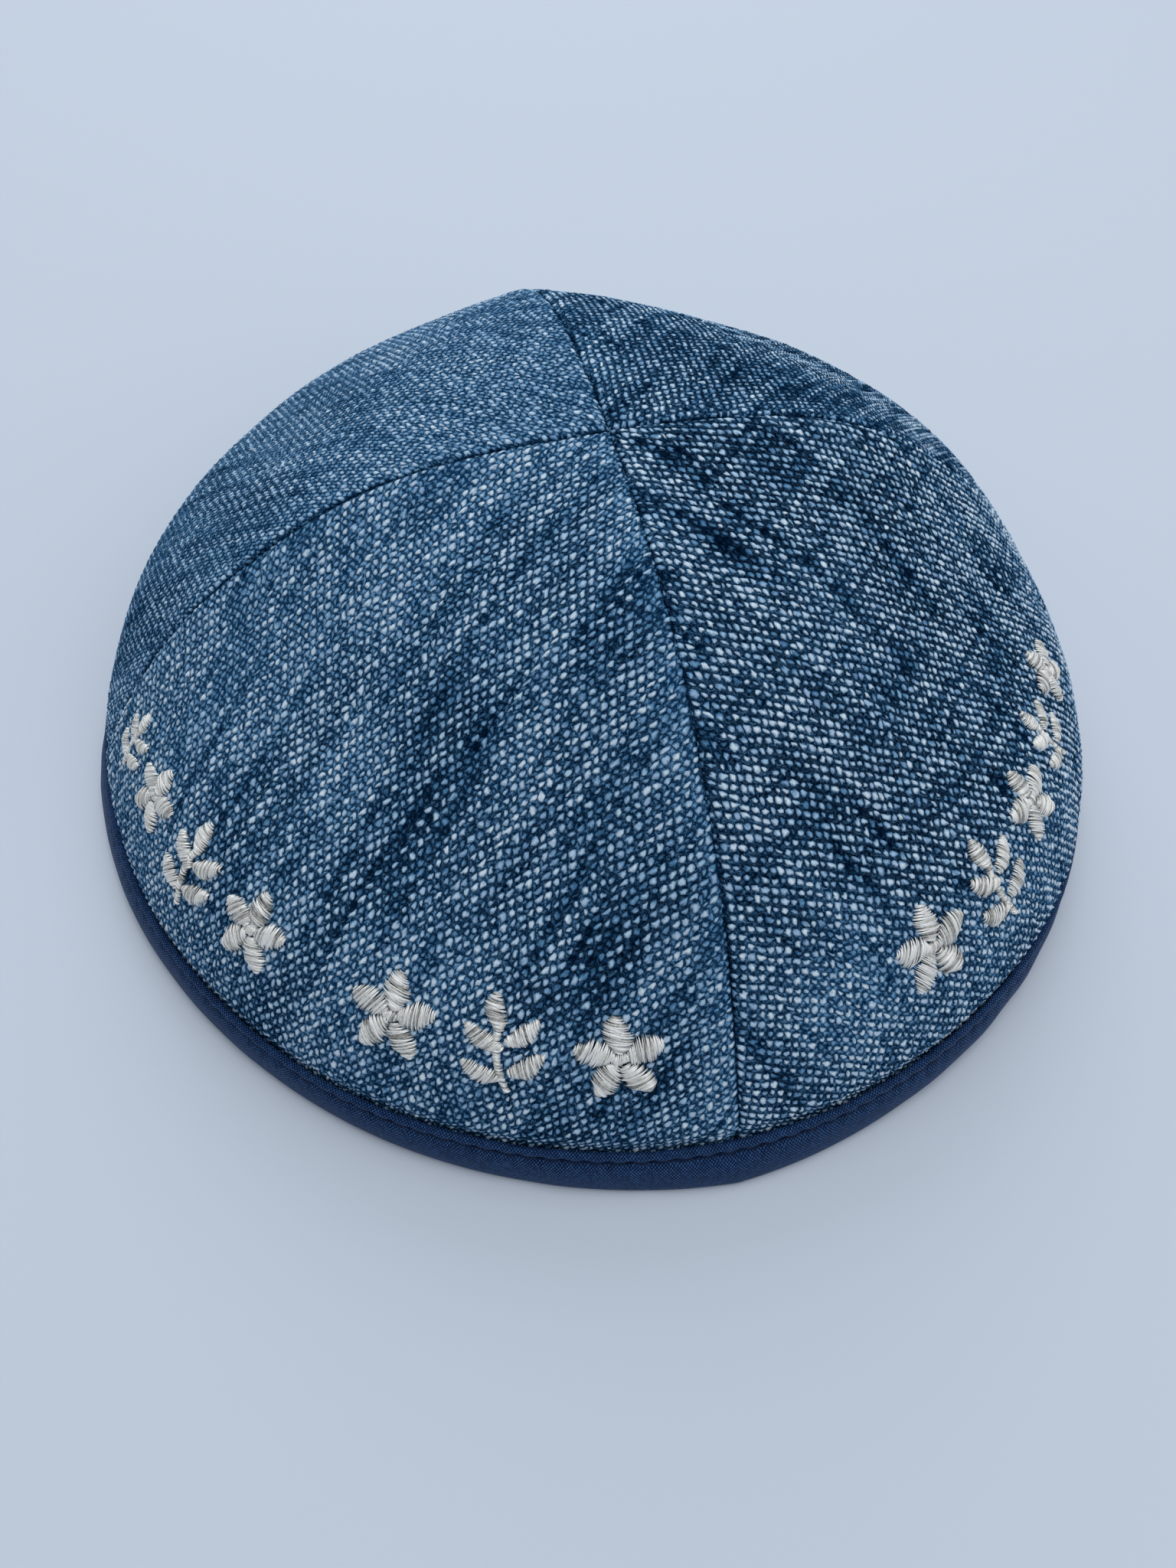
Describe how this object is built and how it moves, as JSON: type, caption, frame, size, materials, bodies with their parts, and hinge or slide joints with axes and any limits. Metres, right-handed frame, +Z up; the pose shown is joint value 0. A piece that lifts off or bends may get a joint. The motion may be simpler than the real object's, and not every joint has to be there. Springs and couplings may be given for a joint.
{
  "type": "kippah skullcap",
  "caption": "Soft cloth skullcap for the crown of the head: woven gores sewn into a low dome, with a folded binding round the rim.",
  "frame": {"origin": "middle of the rim, on the flat surface that the cap rests on", "axes": "+Z up through the crown, -Y towards the side that the picture is taken from, +X to its right"},
  "size_m": [0.1627, 0.1707, 0.0576],
  "materials": {
    "panel_front": "chunky two-tone woven cloth, light blue nubs over navy, matt with a slight nap",
    "panel_right": "chunky two-tone woven cloth, light blue nubs over navy, matt with a slight nap",
    "panel_back": "chunky two-tone woven cloth, light blue nubs over navy, matt with a slight nap",
    "panel_left": "chunky two-tone woven cloth, light blue nubs over navy, matt with a slight nap",
    "rim_binding": "navy satin binding tape with a faint diagonal rib, soft sheen"
  },
  "bodies": {
    "root": {"panel_front": "panel_front", "panel_right": "panel_right", "panel_back": "panel_back", "panel_left": "panel_left", "rim_binding": "rim_binding"}
  },
  "joints": []
}
